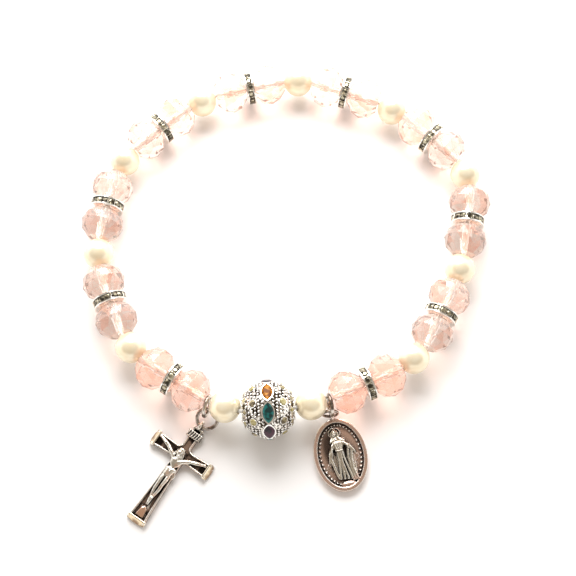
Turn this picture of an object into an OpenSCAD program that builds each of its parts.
// Rosary bracelet lying flat: crystal rondelles in pairs round a stone-set spacer, pearls
// between the pairs, one jewelled ball, and a crucifix and an oval medal on jump rings.
// Millimetres, +Z up. The origin is the middle of the wrist opening on the surface.

/* [Crystal rondelles] */
// Widest diameter of a rondelle
rondelle_d = 8; // [7:0.1:9]
// Length of a rondelle along the thread
rondelle_l = 5.9; // [5:0.1:7]
// Facets round each belt of a rondelle
rondelle_sides = 12; // [8:2:16]
// Width across the flat end of a rondelle
rondelle_table_d = 4.2; // [3.6:0.1:4.6]
// How far the crown's edge lies inside the widest diameter
crown_inset = 0.45; // [0.2:0.05:0.7]
// Length of the steep crown facets along the thread
crown_l = 1.35; // [0.8:0.05:1.8]

/* [Pearls] */
// Diameter of a pearl
pearl_d = 5.7; // [5:0.1:6.5]

/* [Stone-set spacers] */
// Outer diameter of a spacer
spacer_d = 6.3; // [5.6:0.1:7]
// Thickness of a spacer along the thread
spacer_t = 1.65; // [1.5:0.05:2.4]
// Thickness of each of its two flanges
flange_t = 0.27; // [0.15:0.01:0.35]
// Stones round a spacer's rim
spacer_stone_count = 14; // [8:1:15]
// Width of a spacer's stone
spacer_stone_d = 0.9; // [0.6:0.05:0.95]
// Depth of a spacer's stone below the flanges' edge
spacer_stone_depth = 0.5; // [0.3:0.05:0.7]

/* [Jewelled ball] */
// Diameter of the ball over its stones
ball_d = 10.8; // [10:0.1:12]
// Length of the ball along the thread
ball_l = 9.4; // [8.6:0.1:10]
// Pointed oval stones round the ball's middle
marquise_count = 8; // [8:1:9]
// Length of a pointed oval stone
marquise_l = 3.55; // [3:0.05:3.6]
// Width of a pointed oval stone
marquise_w = 1.9; // [1.4:0.05:2.1]
// Metal wall round a pointed oval stone
marquise_wall = 0.27; // [0.2:0.01:0.3]
// Diameter of the round stones beside the middle band
round_stone_d = 1.3; // [1:0.05:1.5]
// Diameter of the small round stones near the ball's ends
small_stone_d = 0.9; // [0.6:0.05:1.1]
// Roll of the ball about the thread, which turns a pointed oval stone towards the viewer
ball_roll = 19; // [0:1:44]

/* [Thread and fit] */
// Diameter of the elastic thread
thread_d = 0.7; // [0.5:0.05:0.8]
// Diameter of the hole through every bead
bore_d = 1.2; // [1:0.05:1.5]
// Gap left between neighbouring beads
bead_gap = 0.1; // [0.05:0.01:0.2]
// Room on the thread for the ring of a charm
ring_slot = 1.0; // [0.9:0.05:1.4]
// Gap between a stone and the metal that holds it
stone_gap = 0.04; // [0.02:0.01:0.08]

/* [Jump rings] */
// Outer diameter of the large jump rings
ring_d = 4.38; // [4.3:0.02:4.6]
// Wire of the large jump rings
ring_wire = 0.68; // [0.5:0.02:0.72]
// Outer diameter of the medal's own jump ring
small_ring_d = 3.26; // [3.2:0.02:3.4]
// Wire of the medal's own jump ring
small_ring_wire = 0.56; // [0.4:0.02:0.6]
// Cut through each jump ring where it was closed
ring_seam = 0.04; // [0.02:0.01:0.1]

/* [Crucifix] */
// Length from the middle of the arms down to the foot
cross_foot_l = 14.1; // [12:0.1:16]
// Length from the middle of the arms up to the end of the top block
cross_top_l = 5.4; // [5:0.1:6.5]
// Length of each side arm from the middle
cross_arm_l = 6.1; // [5.8:0.1:7]
// Thickness of the plate behind the raised rim
cross_floor_t = 0.75; // [0.5:0.05:1]
// Thickness at the raised rim
cross_rim_t = 1.25; // [1.1:0.05:1.6]
// Width of the raised rim
cross_rim_w = 0.34; // [0.25:0.01:0.45]
// Turn of the crucifix on the surface, clockwise from straight away
cross_lean = 33.5; // [30:0.5:36]

/* [Medal] */
// Width of the oval medal
medal_w = 9.6; // [8.8:0.1:11]
// Height of the oval medal
medal_h = 13.1; // [12:0.1:15]
// Thickness of the medal behind its relief
medal_floor_t = 0.85; // [0.6:0.05:1.2]
// Thickness at the medal's raised rim
medal_rim_t = 1.3; // [1.25:0.05:1.8]
// Width of the medal's raised rim
medal_rim_w = 0.75; // [0.5:0.05:1]
// Small dots in the ring inside the medal's rim
medal_dots = 34; // [20:1:40]
// Turn of the medal on the surface, clockwise from straight away
medal_lean = -11.5; // [-14:0.5:-9]

/* [Hidden] */
// Each pearl's distance from the middle, clockwise from the ball, as a share of the mean
pearl_route = [1.01, 1.03, 1.02, 1.01, 0.96, 0.97, 1.00, 1.09, 0.98, 0.98, 0.96];
first_pearl_angle = -107.5;

link_count = len(pearl_route);
pair_count = link_count - 1;
rondelle_count = 2 * pair_count;

function two(i) = str(i < 10 ? "0" : "", i);
function numbered(name, count) = [for (i = [1:count]) str(name, "_", two(i))];

function unit(v) = v / norm(v);
function total(v, i = 0) = i < len(v) ? v[i] + total(v, i + 1) : 0;
function wrap(i) = (i + link_count) % link_count;
function flat(v, z) = [v[0], v[1], z];

// A link is what lies between two pearls: a pair of rondelles on a spacer, or the ball.
pair_l = 2 * rondelle_l + spacer_t + 2 * bead_gap;
function has_ring(i) = i == 0 || i == pair_count - 1;
link_l = [for (i = [0:link_count - 1]) i == pair_count ? ball_l : pair_l + (has_ring(i) ? ring_slot : 0)];
span = [for (l = link_l) l + pearl_d + 2 * bead_gap];

// The mean distance from the middle is the one at which the spans close the loop.
function swept(i, r) =
    let (a = r * pearl_route[i], b = r * pearl_route[wrap(i + 1)])
    acos((a * a + b * b - span[i] * span[i]) / (2 * a * b));
function full_sweep(r) = total([for (i = [0:link_count - 1]) swept(i, r)]);
function closing_radius(low, high, steps = 40) =
    let (mid = (low + high) / 2)
    steps == 0 ? mid
    : full_sweep(mid) > 360 ? closing_radius(mid, high, steps - 1)
    : closing_radius(low, mid, steps - 1);
loop_r = closing_radius(total(span) / 7.5, total(span) / 5);

pearl_angle = [
    for (i = 0, a = first_pearl_angle; i < link_count; a = a - swept(i, loop_r), i = i + 1) a];
pearl_xy = [for (i = [0:link_count - 1]) loop_r * pearl_route[i] * [cos(pearl_angle[i]), sin(pearl_angle[i])]];
pearl_way = [for (i = [0:link_count - 1]) unit(pearl_xy[wrap(i + 1)] - pearl_xy[wrap(i - 1)])];

// Height of the thread, which rises from the rondelles to the larger ball
thread_z = rondelle_d / 2;
ball_z = ball_d / 2;
pearl_reach = (pearl_d + bead_gap) / 2;
slot_z = thread_z + (ball_z - thread_z) * ring_slot / (2 * pearl_reach + ring_slot);
function exit_z(i) = i == 0 ? slot_z : i == pair_count ? ball_z : thread_z;
function entry_z(i) = i == 0 ? ball_z : i == pair_count ? slot_z : thread_z;
entry_at = [for (i = [0:link_count - 1]) flat(pearl_xy[i] - pearl_reach * pearl_way[i], entry_z(i))];
exit_at = [for (i = [0:link_count - 1]) flat(pearl_xy[i] + pearl_reach * pearl_way[i], exit_z(i))];

link_way = [for (i = [0:link_count - 1])
    let (d = entry_at[wrap(i + 1)] - exit_at[i]) flat(unit([d[0], d[1]]), 0)];
// Each link's middle is as far along it from the one pearl as from the other
link_mid = [for (i = [0:link_count - 1])
    let (start = flat(exit_at[i], 0), centre = flat((pearl_xy[i] + pearl_xy[wrap(i + 1)]) / 2, 0))
    flat(start + ((centre - start) * link_way[i]) * link_way[i], i == pair_count ? ball_z : thread_z)];
// Where the first rondelle of a pair starts along its link, measured from the link's middle
function pair_start(i) = -link_l[i] / 2 + (i == 0 ? ring_slot : 0);
function along(i, s) = link_mid[i] + s * link_way[i];
function rondelle_place(i, second) =
    along(i, pair_start(i) + rondelle_l / 2 + (second ? rondelle_l + spacer_t + 2 * bead_gap : 0));
function spacer_place(i) = along(i, pair_start(i) + rondelle_l + bead_gap + spacer_t / 2);

// The slots on the thread where the two charms hang
cross_slot = flat(along(0, -link_l[0] / 2 + ring_slot / 2), slot_z);
medal_slot = flat(along(pair_count - 1, link_l[pair_count - 1] / 2 - ring_slot / 2), slot_z);

// Jump rings and the charms' own loops
ring_r = (ring_d - ring_wire) / 2;
small_ring_r = (small_ring_d - small_ring_wire) / 2;
cross_loop_wire = 0.6;
cross_loop_r = 0.78;
cross_loop_z = cross_loop_r + cross_loop_wire / 2;
medal_loop_wire = 0.5;
medal_loop_r = 0.7;
medal_loop_z = medal_loop_r + medal_loop_wire / 2;

// How each charm hangs: step over the surface in ring radii, share of the drop, ring's facing
HANG_X = 0;
HANG_Y = 1;
HANG_DROP = 2;
HANG_FACING = 3;
cross_hang = [
    [0.028, -0.446, 0.225, [0.957, -0.275, 0.095]],
    [-0.025, -1.030, 0.587, [0.025, -0.431, 0.902]],
    [-0.624, -0.692, 0.188, [0, 0, 0]],
];
medal_hang = [
    [0.021, -0.468, 0.111, [0.971, 0.224, -0.086]],
    [0.069, -0.936, 0.510, [0.059, -0.986, 0.153]],
    [0.244, -0.156, 0.379, [0, 0, 0]],
];
function hang_step(row, r, drop) = [row[HANG_X] * r, row[HANG_Y] * r, -row[HANG_DROP] * drop];
cross_drop = slot_z - cross_loop_z;
cross_ring_1 = cross_slot + hang_step(cross_hang[0], ring_r, cross_drop);
cross_ring_2 = cross_ring_1 + hang_step(cross_hang[1], ring_r, cross_drop);
cross_loop_at = cross_ring_2 + hang_step(cross_hang[2], ring_r, cross_drop);
medal_drop = slot_z - medal_loop_z;
medal_ring_1 = medal_slot + hang_step(medal_hang[0], ring_r, medal_drop);
medal_ring_2 = medal_ring_1 + hang_step(medal_hang[1], small_ring_r, medal_drop);
medal_loop_at = medal_ring_2 + hang_step(medal_hang[2], small_ring_r, medal_drop);

// Shared shapes

// Points of a circle of given count, turned by a share of one step
function ring_points(r, count, turned = 0) =
    [for (k = [0:count - 1]) let (a = 360 * (k + turned) / count) r * [cos(a), sin(a)]];

// Pointed oval of given length and width, with count points down each side
function marquise_points(length, width, count) =
    let (l = length / 2, w = width / 2, r = (l * l + w * w) / (2 * w), half = asin(l / r))
    [for (side = [1, -1], k = [0:count - 1])
        let (a = half * (1 - 2 * k / count)) side * [r * sin(a), r * cos(a) - r + w]];

// Closed solid through outlines of one count; where turned is true the band above is triangles
module cut_solid(outlines, heights, turned) {
    count = len(outlines[0]);
    levels = len(outlines);
    points = [for (k = [0:levels - 1], p = outlines[k]) [p[0], p[1], heights[k]]];
    function at(level, k) = level * count + (k + count) % count;
    sides = [for (level = [0:levels - 2], k = [0:count - 1])
        each turned[level] == 0 ? [[at(level, k), at(level + 1, k), at(level + 1, k + 1), at(level, k + 1)]]
        : turned[level] > 0 ? [[at(level, k), at(level + 1, k), at(level, k + 1)],
                               [at(level + 1, k), at(level + 1, k + 1), at(level, k + 1)]]
        : [[at(level, k), at(level + 1, k), at(level + 1, k + 1)],
           [at(level, k), at(level + 1, k + 1), at(level, k + 1)]]];
    polyhedron(points, concat(
        [[for (k = [0:count - 1]) at(0, k)]], sides,
        [[for (k = [count - 1:-1:0]) at(levels - 1, k)]]));
}

// Round brilliant with a table, eight crown facets and a short pavilion; its girdle is at z = 0
module round_stone(d) {
    cut_solid(
        [ring_points(0.22 * d, 8), ring_points(d / 2, 8), ring_points(0.3 * d, 8)],
        [-0.3 * d, 0, 0.18 * d], [0, 0]);
}

// Places its children at a point with their +Z along a direction
module aim(place, way) {
    translate(place)
        rotate([0, acos(way[2] / norm(way)), atan2(way[1], way[0])])
            children();
}

module bore(length) {
    cylinder(d = bore_d, h = length + 2, center = true, $fn = 32);
}

// Beads

module rondelle(i, second) {
    table = rondelle_table_d / 2;
    crown = rondelle_d / 2 - crown_inset;
    half = rondelle_l / 2;
    n = rondelle_sides;
    color([0.95, 0.76, 0.72, 0.6])
        aim(rondelle_place(i, second), link_way[i])
            rotate(47 * (2 * i + (second ? 1 : 0)))
                difference() {
                    cut_solid(
                        [ring_points(table, n), ring_points(crown, n), ring_points(rondelle_d / 2, n, 0.5),
                         ring_points(crown, n), ring_points(table, n)],
                        [-half, crown_l - half, 0, half - crown_l, half], [0, 1, -1, 0]);
                    bore(rondelle_l);
                }
}

module pearl(i) {
    color([0.97, 0.93, 0.8])
        aim((entry_at[i] + exit_at[i]) / 2, exit_at[i] - entry_at[i])
            difference() {
                sphere(d = pearl_d, $fn = 48);
                bore(pearl_d);
            }
}

// Turns its children into each stone's place round a spacer, with +Z outwards
module round_the_rim() {
    for (k = [0:spacer_stone_count - 1])
        rotate([0, 90, 360 * k / spacer_stone_count])
            children();
}

spacer_core_r = spacer_d / 2 - spacer_stone_depth - 2 * stone_gap - 0.1;
post_w = 0.14;
post_inset = 0.12;

module spacer(i) {
    color([0.8, 0.8, 0.78])
        aim(spacer_place(i), link_way[i])
            difference() {
                union() {
                    for (side = [-1, 1])
                        translate([0, 0, side * (spacer_t - flange_t) / 2])
                            cylinder(d = spacer_d, h = flange_t, center = true, $fn = 48);
                    cylinder(r = spacer_core_r, h = spacer_t - flange_t, center = true, $fn = 48);
                    rotate(180 / spacer_stone_count)
                        round_the_rim()
                            translate([0, 0, (spacer_core_r + spacer_d / 2 - post_inset) / 2])
                                cube(
                                    [spacer_t - flange_t, post_w,
                                     spacer_d / 2 - post_inset - spacer_core_r + 0.2],
                                    center = true);
                }
                bore(spacer_t);
            }
}

// The stones of spacers first to last, each a flat-backed cut stone facing outwards
module spacer_stones(first, last) {
    d = min(spacer_stone_d, spacer_t - 2 * flange_t - 2 * stone_gap);
    color([0.9, 0.95, 1])
        for (i = [first:last])
            aim(spacer_place(i), link_way[i])
                round_the_rim()
                    rotate(22.5)
                        cut_solid(
                            [ring_points(d / 2, 8), ring_points(0.3 * d, 8)],
                            [spacer_core_r + stone_gap, spacer_d / 2 - stone_gap], [0]);
}

// Jewelled ball

ball_body_r = ball_d / 2 - 0.5;
marquise_seat_r = ball_body_r + 0.1;
marquise_step = 360 / marquise_count;
pocket_depth = 0.5;
round_collet_d = round_stone_d + 0.3;
small_collet_d = small_stone_d + 0.24;
round_latitude = 32;
small_latitude = 55;
collet_rise = 0.12;

// Places its children at the ball, rolled about the thread
module at_ball() {
    aim(link_mid[pair_count], link_way[pair_count])
        rotate(-ball_roll)
            children();
}

// Turns its children outwards at each place of a ring on the ball, at a latitude from its middle
module on_ball(latitude, count, turned = 0) {
    for (k = [0:count - 1])
        rotate([0, 90 - latitude, marquise_step * turned + 360 * k / count])
            children();
}

// Pointed oval of two arcs, standing along the ball's middle
module marquise_outline(length, width) {
    l = length / 2;
    w = width / 2;
    r = (l * l + w * w) / (2 * w);
    intersection_for (side = [-1, 1])
        translate([side * (r - w), 0])
            circle(r, $fn = 64);
}

module accent_ball() {
    seat_l = marquise_l + 2 * marquise_wall;
    seat_w = marquise_w + 2 * marquise_wall;
    color([0.82, 0.81, 0.78])
        at_ball()
            difference() {
                union() {
                    intersection() {
                        sphere(r = ball_body_r, $fn = 64);
                        cylinder(d = ball_d, h = ball_l, center = true, $fn = 64);
                    }
                    on_ball(0, marquise_count)
                        linear_extrude(marquise_seat_r)
                            marquise_outline(seat_l, seat_w);
                    for (side = [-1, 1]) {
                        on_ball(side * round_latitude, marquise_count, 0.5)
                            cylinder(d = round_collet_d, h = ball_body_r + collet_rise, $fn = 24);
                        on_ball(side * small_latitude, marquise_count)
                            cylinder(d = small_collet_d, h = ball_body_r + collet_rise, $fn = 24);
                    }
                }
                on_ball(0, marquise_count)
                    translate([0, 0, marquise_seat_r - pocket_depth])
                        linear_extrude(ball_d)
                            marquise_outline(marquise_l + 2 * stone_gap, marquise_w + 2 * stone_gap);
                for (side = [-1, 1]) {
                    on_ball(side * round_latitude, marquise_count, 0.5)
                        translate([0, 0, ball_body_r + collet_rise - pocket_depth])
                            cylinder(d = round_stone_d + 2 * stone_gap, h = ball_d, $fn = 24);
                    on_ball(side * small_latitude, marquise_count)
                        translate([0, 0, ball_body_r + collet_rise - pocket_depth])
                            cylinder(d = small_stone_d + 2 * stone_gap, h = ball_d, $fn = 24);
                }
                bore(ball_l);
            }
}

module marquise_stones() {
    color([0.1, 0.45, 0.4])
        at_ball()
            on_ball(0, marquise_count)
                translate([0, 0, marquise_seat_r])
                    rotate(90)
                        cut_solid(
                            [marquise_points(0.4 * marquise_l, 0.4 * marquise_w, 5),
                             marquise_points(marquise_l, marquise_w, 5),
                             marquise_points(0.6 * marquise_l, 0.6 * marquise_w, 5)],
                            [stone_gap - pocket_depth, 0, 0.3], [0, 0]);
}

module round_stones() {
    color([0.85, 0.75, 0.45])
        at_ball()
            for (side = [-1, 1]) {
                on_ball(side * round_latitude, marquise_count, 0.5)
                    translate([0, 0, ball_body_r + collet_rise])
                        round_stone(round_stone_d);
                on_ball(side * small_latitude, marquise_count)
                    translate([0, 0, ball_body_r + collet_rise])
                        round_stone(small_stone_d);
            }
}

// Thread

// Closed tube through the ends of every bead's hole
module thread() {
    sides = 8;
    route = [for (i = [0:link_count - 1]) each [entry_at[i], exit_at[i]]];
    count = len(route);
    points = [for (i = [0:count - 1])
        let (way = unit(route[(i + 1) % count] - route[(i + count - 1) % count]),
             across = unit(cross([0, 0, 1], way)), up = cross(way, across))
        each [for (k = [0:sides - 1]) let (a = 360 * (k + 0.5) / sides)
            route[i] + thread_d / 2 * (cos(a) * across + sin(a) * up)]];
    faces = [for (i = [0:count - 1], k = [0:sides - 1])
        let (a = i * sides, b = (i + 1) % count * sides, l = (k + 1) % sides)
        [a + k, a + l, b + l, b + k]];
    color([0.93, 0.93, 0.9])
        polyhedron(points, faces);
}

// Jump rings

module jump_ring(place, facing, r, wire) {
    color([0.72, 0.68, 0.65])
        aim(place, facing)
            difference() {
                rotate_extrude($fn = 48)
                    translate([r, 0])
                        circle(d = wire, $fn = 24);
                translate([0, -r, 0])
                    cube([ring_seam, 2 * wire, 2 * wire], center = true);
            }
}

// Relief shared by the crucifix and the medal

// A rounded lump: x, y, z and radius
module lump(p) {
    translate([p[0], p[1], p[2]])
        sphere(p[3], $fn = 8);
}

// A limb of lumps joined one after another
module limb(points) {
    for (k = [0:len(points) - 2])
        hull() {
            lump(points[k]);
            lump(points[k + 1]);
        }
}

module mass(points) {
    hull()
        for (p = points)
            lump(p);
}

// Loop standing on its edge at the top of a charm, with its hole facing sideways
module top_loop(r, wire) {
    rotate([0, 90, 0])
        rotate_extrude($fn = 24)
            translate([r, 0])
                circle(d = wire, $fn = 10);
}

// Crucifix, drawn about the middle of its arms with the foot towards -Y

cross_neck = 1.12;
cross_arm_tip = 1.45;
cross_foot_tip = 1.8;
cross_top_w = 1.9;
cross_fillet = 0.7;
cross_cap_l = 0.95;
cross_panel_t = cross_floor_t + 0.3;
cross_loop_y = cross_top_l + 0.62;
cross_title_y = 3.4;
cross_share = cross_foot_l / 14.1;

// One arm of the cross, its sides curving out towards the tip
module cross_arm(way, length, tip) {
    rotate(way)
        polygon([for (side = [-1, 1], k = [0:6])
            let (share = side < 0 ? k / 6 : 1 - k / 6)
            [length * share, side * (cross_neck + (tip - cross_neck) * share * share)]]);
}

module cross_outline() {
    offset(r = -cross_fillet, $fn = 32)
        offset(delta = cross_fillet) {
            cross_arm(0, cross_arm_l - cross_cap_l / 2, cross_arm_tip - 0.1);
            cross_arm(180, cross_arm_l - cross_cap_l / 2, cross_arm_tip - 0.1);
            cross_arm(-90, cross_foot_l - cross_cap_l / 2, cross_foot_tip - 0.1);
            translate([-cross_top_w / 2, 0])
                square([cross_top_w, cross_top_l]);
        }
}

// Thick end of an arm, sloping down and bowed outwards at the tip
module end_cap(way, length, half) {
    rotate(way)
        hull() {
            translate([length - cross_cap_l, -half, 0])
                cube([0.35, 2 * half, cross_rim_t + 0.12]);
            linear_extrude(0.45)
                polygon([[length - cross_cap_l, -half], [length, -1.04 * half], [length + 0.2, -0.4 * half],
                    [length + 0.2, 0.4 * half], [length, 1.04 * half], [length - cross_cap_l, half]]);
        }
}

// Plain plate across the top block, cut with slanting strokes
module title_plate() {
    w = 2.7;
    h = 1.15;
    difference() {
        translate([-w / 2, cross_title_y, 0.2])
            cube([w, h, cross_rim_t + 0.1]);
        for (k = [-2.5:1:2.5])
            translate([k * 0.4, cross_title_y + h / 2, cross_rim_t + 0.3])
                rotate(-12)
                    cube([0.13, 0.8 * h, 0.36], center = true);
    }
}

module cross_figure() {
    z = cross_rim_t;
    mass([[-0.15, 0.0, z + 0.5, 0.6], [0.02, -0.72, z + 0.62, 0.34]]);
    mass([[-0.24, 0.22, z + 0.3, 0.72], [-0.72, -0.72, z + 0.05, 0.34]]);
    mass([[-0.24, 0.22, z + 0.3, 0.72], [0.5, -0.78, z + 0.05, 0.32]]);
    mass([[-0.1, -0.15, z + 1.02, 0.09], [-0.03, -0.42, z + 1.06, 0.12]]);
    limb([[0, -0.7, z + 0.2, 0.32], [0.08, -1.4, z + 0.1, 0.42]]);
    mass([[-0.62, -1.32, z + 0.1, 0.46], [0.78, -1.3, z + 0.1, 0.46], [0.05, -2.5, z + 0.15, 0.5]]);
    mass([[0.05, -2.4, z + 0.1, 0.48], [-0.3, -3.35, z + 0.1, 0.46], [0.42, -3.3, z + 0.1, 0.46]]);
    mass([[-0.42, -3.25, z + 0.15, 0.5], [0.5, -3.15, z + 0.15, 0.5],
        [-0.4, -4.45, z + 0.3, 0.46], [0.3, -4.4, z + 0.3, 0.46]]);
    limb([[0.85, -3.05, z + 0.1, 0.36], [1.02, -3.9, z - 0.05, 0.26], [0.92, -4.9, z - 0.2, 0.16]]);
    limb([[-0.75, -1.1, z + 0.1, 0.36], [-2.7, 0.0, z + 0.05, 0.28], [-4.75, 0.65, z - 0.1, 0.2]]);
    limb([[0.95, -1.05, z + 0.1, 0.36], [2.3, -0.25, z + 0.05, 0.28], [4.55, 0.5, z - 0.1, 0.2]]);
    mass([[-4.7, 0.62, z - 0.1, 0.24], [-5.2, 0.8, z - 0.15, 0.2]]);
    mass([[4.5, 0.48, z - 0.1, 0.24], [5.0, 0.66, z - 0.15, 0.2]]);
    limb([[-0.32, -4.3, z + 0.25, 0.44], [-0.45, -6.5, z + 0.45, 0.36], [-0.2, -9.1, z + 0.1, 0.24]]);
    limb([[0.32, -4.3, z + 0.25, 0.44], [0.4, -6.4, z + 0.45, 0.36], [0.12, -9.2, z + 0.15, 0.24]]);
    mass([[-0.05, -9.15, z + 0.15, 0.3], [-0.02, -10.15, z - 0.05, 0.3], [0, -10.5, z - 0.25, 0.2]]);
}

module crucifix() {
    color([0.66, 0.6, 0.56])
        translate(flat(cross_loop_at, 0))
            rotate(-cross_lean)
                translate([0, -cross_loop_y, 0]) {
                    difference() {
                        linear_extrude(cross_rim_t)
                            cross_outline();
                        translate([0, 0, cross_floor_t])
                            linear_extrude(cross_rim_t)
                                difference() {
                                    offset(delta = -cross_rim_w)
                                        cross_outline();
                                    translate([-cross_top_w, cross_title_y + 0.2])
                                        square([2 * cross_top_w, cross_top_l]);
                                }
                        translate([0, cross_top_l - 0.55, cross_rim_t])
                            cube([0.95, 0.42, 0.8], center = true);
                    }
                    hull() {
                        translate([0, 2.75 - cross_foot_l, cross_floor_t - 0.1])
                            cylinder(r = 0.55, h = cross_panel_t - cross_floor_t + 0.1, $fn = 20);
                        translate([-0.85, -cross_foot_l + cross_cap_l + 0.2, cross_floor_t - 0.1])
                            cube([1.7, 0.1, cross_panel_t - cross_floor_t + 0.1]);
                    }
                    end_cap(0, cross_arm_l, cross_arm_tip);
                    end_cap(180, cross_arm_l, cross_arm_tip);
                    end_cap(-90, cross_foot_l, cross_foot_tip);
                    title_plate();
                    scale([cross_share, cross_share, 1])
                        cross_figure();
                    translate([0, cross_loop_y, cross_loop_z])
                        top_loop(cross_loop_r, cross_loop_wire);
                }
}

// Medal, drawn about its middle with the top towards +Y

medal_loop_y = medal_h / 2 + 0.6;
medal_z = medal_floor_t;
medal_share = medal_h / 13.1;

module oval(inset) {
    polygon([for (k = [0:47]) let (a = 360 * k / 48)
        [(medal_w / 2 - inset) * cos(a), (medal_h / 2 - inset) * sin(a)]]);
}

module medal_body() {
    edge = 0.14;
    difference() {
        hull() {
            linear_extrude(medal_rim_t)
                oval(edge);
            translate([0, 0, edge])
                linear_extrude(medal_rim_t - 2 * edge)
                    oval(0);
        }
        translate([0, 0, medal_floor_t])
            linear_extrude(medal_rim_t)
                oval(medal_rim_w);
    }
}

// Standing figure in a veil and mantle, hands lowered and open
module medal_figure() {
    z = medal_z;
    mass([[-0.38, 3.85, z + 0.35, 0.42], [-0.5, 3.3, z + 0.38, 0.24]]);
    mass([[-0.25, 4.05, z + 0.08, 0.6], [-0.75, 2.9, z - 0.03, 0.34], [0.3, 2.87, z + 0.02, 0.4]]);
    mass([[-0.46, 3.72, z + 0.74, 0.07], [-0.48, 3.56, z + 0.76, 0.09]]);
    mass([[-0.8, 2.35, z + 0.1, 0.42], [0.7, 2.35, z + 0.1, 0.42], [-0.2, 0.8, z + 0.15, 0.45]]);
    mass([[-0.55, 0.75, z + 0.1, 0.4], [0.35, 0.75, z + 0.1, 0.4],
        [-0.6, -4.0, z, 0.35], [1.0, -4.2, z, 0.35]]);
    for (fold = [-1.5:1.5])
        mass([[-0.15 + 0.2 * fold, 0.6, z + 0.38, 0.14], [0.22 + 0.48 * fold, -3.95, z + 0.22, 0.2]]);
    mass([[-0.55, 0.74, z + 0.4, 0.18], [0.42, 0.78, z + 0.4, 0.18]]);
    limb([[-0.85, 2.2, z + 0.15, 0.4], [-1.5, 1.0, z + 0.25, 0.34], [-1.95, -0.15, z + 0.2, 0.2]]);
    limb([[0.8, 2.2, z + 0.15, 0.4], [1.5, 1.35, z + 0.25, 0.34], [2.3, 0.4, z + 0.2, 0.2]]);
    mass([[-1.98, -0.23, z + 0.23, 0.17], [-2.1, -0.6, z + 0.14, 0.13]]);
    mass([[2.35, 0.33, z + 0.23, 0.17], [2.54, 0.03, z + 0.14, 0.13]]);
    mass([[-1.2, 1.5, z, 0.3], [-1.75, 0.2, z, 0.22], [-1.35, -2.3, z, 0.18], [-0.7, -3.6, z, 0.25]]);
    mass([[1.1, 1.7, z, 0.3], [2.0, 0.4, z, 0.22], [1.35, -2.2, z, 0.25], [1.8, -4.2, z, 0.25]]);
}

module medal() {
    color([0.6, 0.5, 0.46])
        translate(flat(medal_loop_at, 0))
            rotate(-medal_lean)
                translate([0, -medal_loop_y, 0]) {
                    medal_body();
                    scale([medal_share, medal_share, 1])
                        medal_figure();
                    for (k = [0:medal_dots - 1])
                        let (a = 360 * (k + 0.5) / medal_dots, inset = medal_rim_w + 0.42)
                            translate([
                                (medal_w / 2 - inset) * cos(a), (medal_h / 2 - inset) * sin(a), medal_z - 0.1])
                                cylinder(r1 = 0.22, r2 = 0.11, h = 0.3, $fn = 6);
                    translate([-0.3, 3.95, medal_z + 0.03])
                        rotate_extrude($fn = 28)
                            translate([1.0, 0])
                                circle(0.13, $fn = 6);
                    for (side = [-1, 1], k = [0:3])
                        limb([[side * (1.95 + 0.16 * k), -0.75 + 0.1 * k, medal_z + 0.02, 0.08],
                            [side * (1.9 + 0.3 * k), -2.1 + 0.2 * k, medal_z + 0.02, 0.06]]);
                    intersection() {
                        translate([0.1, -5.6, medal_z - 0.4])
                            sphere(1.55, $fn = 28);
                        linear_extrude(medal_rim_t)
                            oval(medal_rim_w - 0.1);
                    }
                    translate([0, medal_loop_y, medal_loop_z])
                        top_loop(medal_loop_r, medal_loop_wire);
                }
}

// Assembly

for (i = [0:pair_count - 1], second = [false, true])
    let (name = str("rondelle_", two(2 * i + (second ? 2 : 1))))
        rondelle(i, second);
for (i = [0:link_count - 1])
    pearl(i);
for (i = [0:pair_count - 1])
    spacer(i);
spacer_stones(0, pair_count / 2 - 1);  // spacer_stones_left
spacer_stones(pair_count / 2, pair_count - 1);  // spacer_stones_right
accent_ball();
marquise_stones();
round_stones();
thread();
jump_ring(cross_ring_1, cross_hang[0][HANG_FACING], ring_r, ring_wire);  // crucifix_cord_ring
jump_ring(cross_ring_2, cross_hang[1][HANG_FACING], ring_r, ring_wire);  // crucifix_ring
jump_ring(medal_ring_1, medal_hang[0][HANG_FACING], ring_r, ring_wire);  // medal_cord_ring
jump_ring(medal_ring_2, medal_hang[1][HANG_FACING], small_ring_r, small_ring_wire);  // medal_ring
crucifix();
medal();
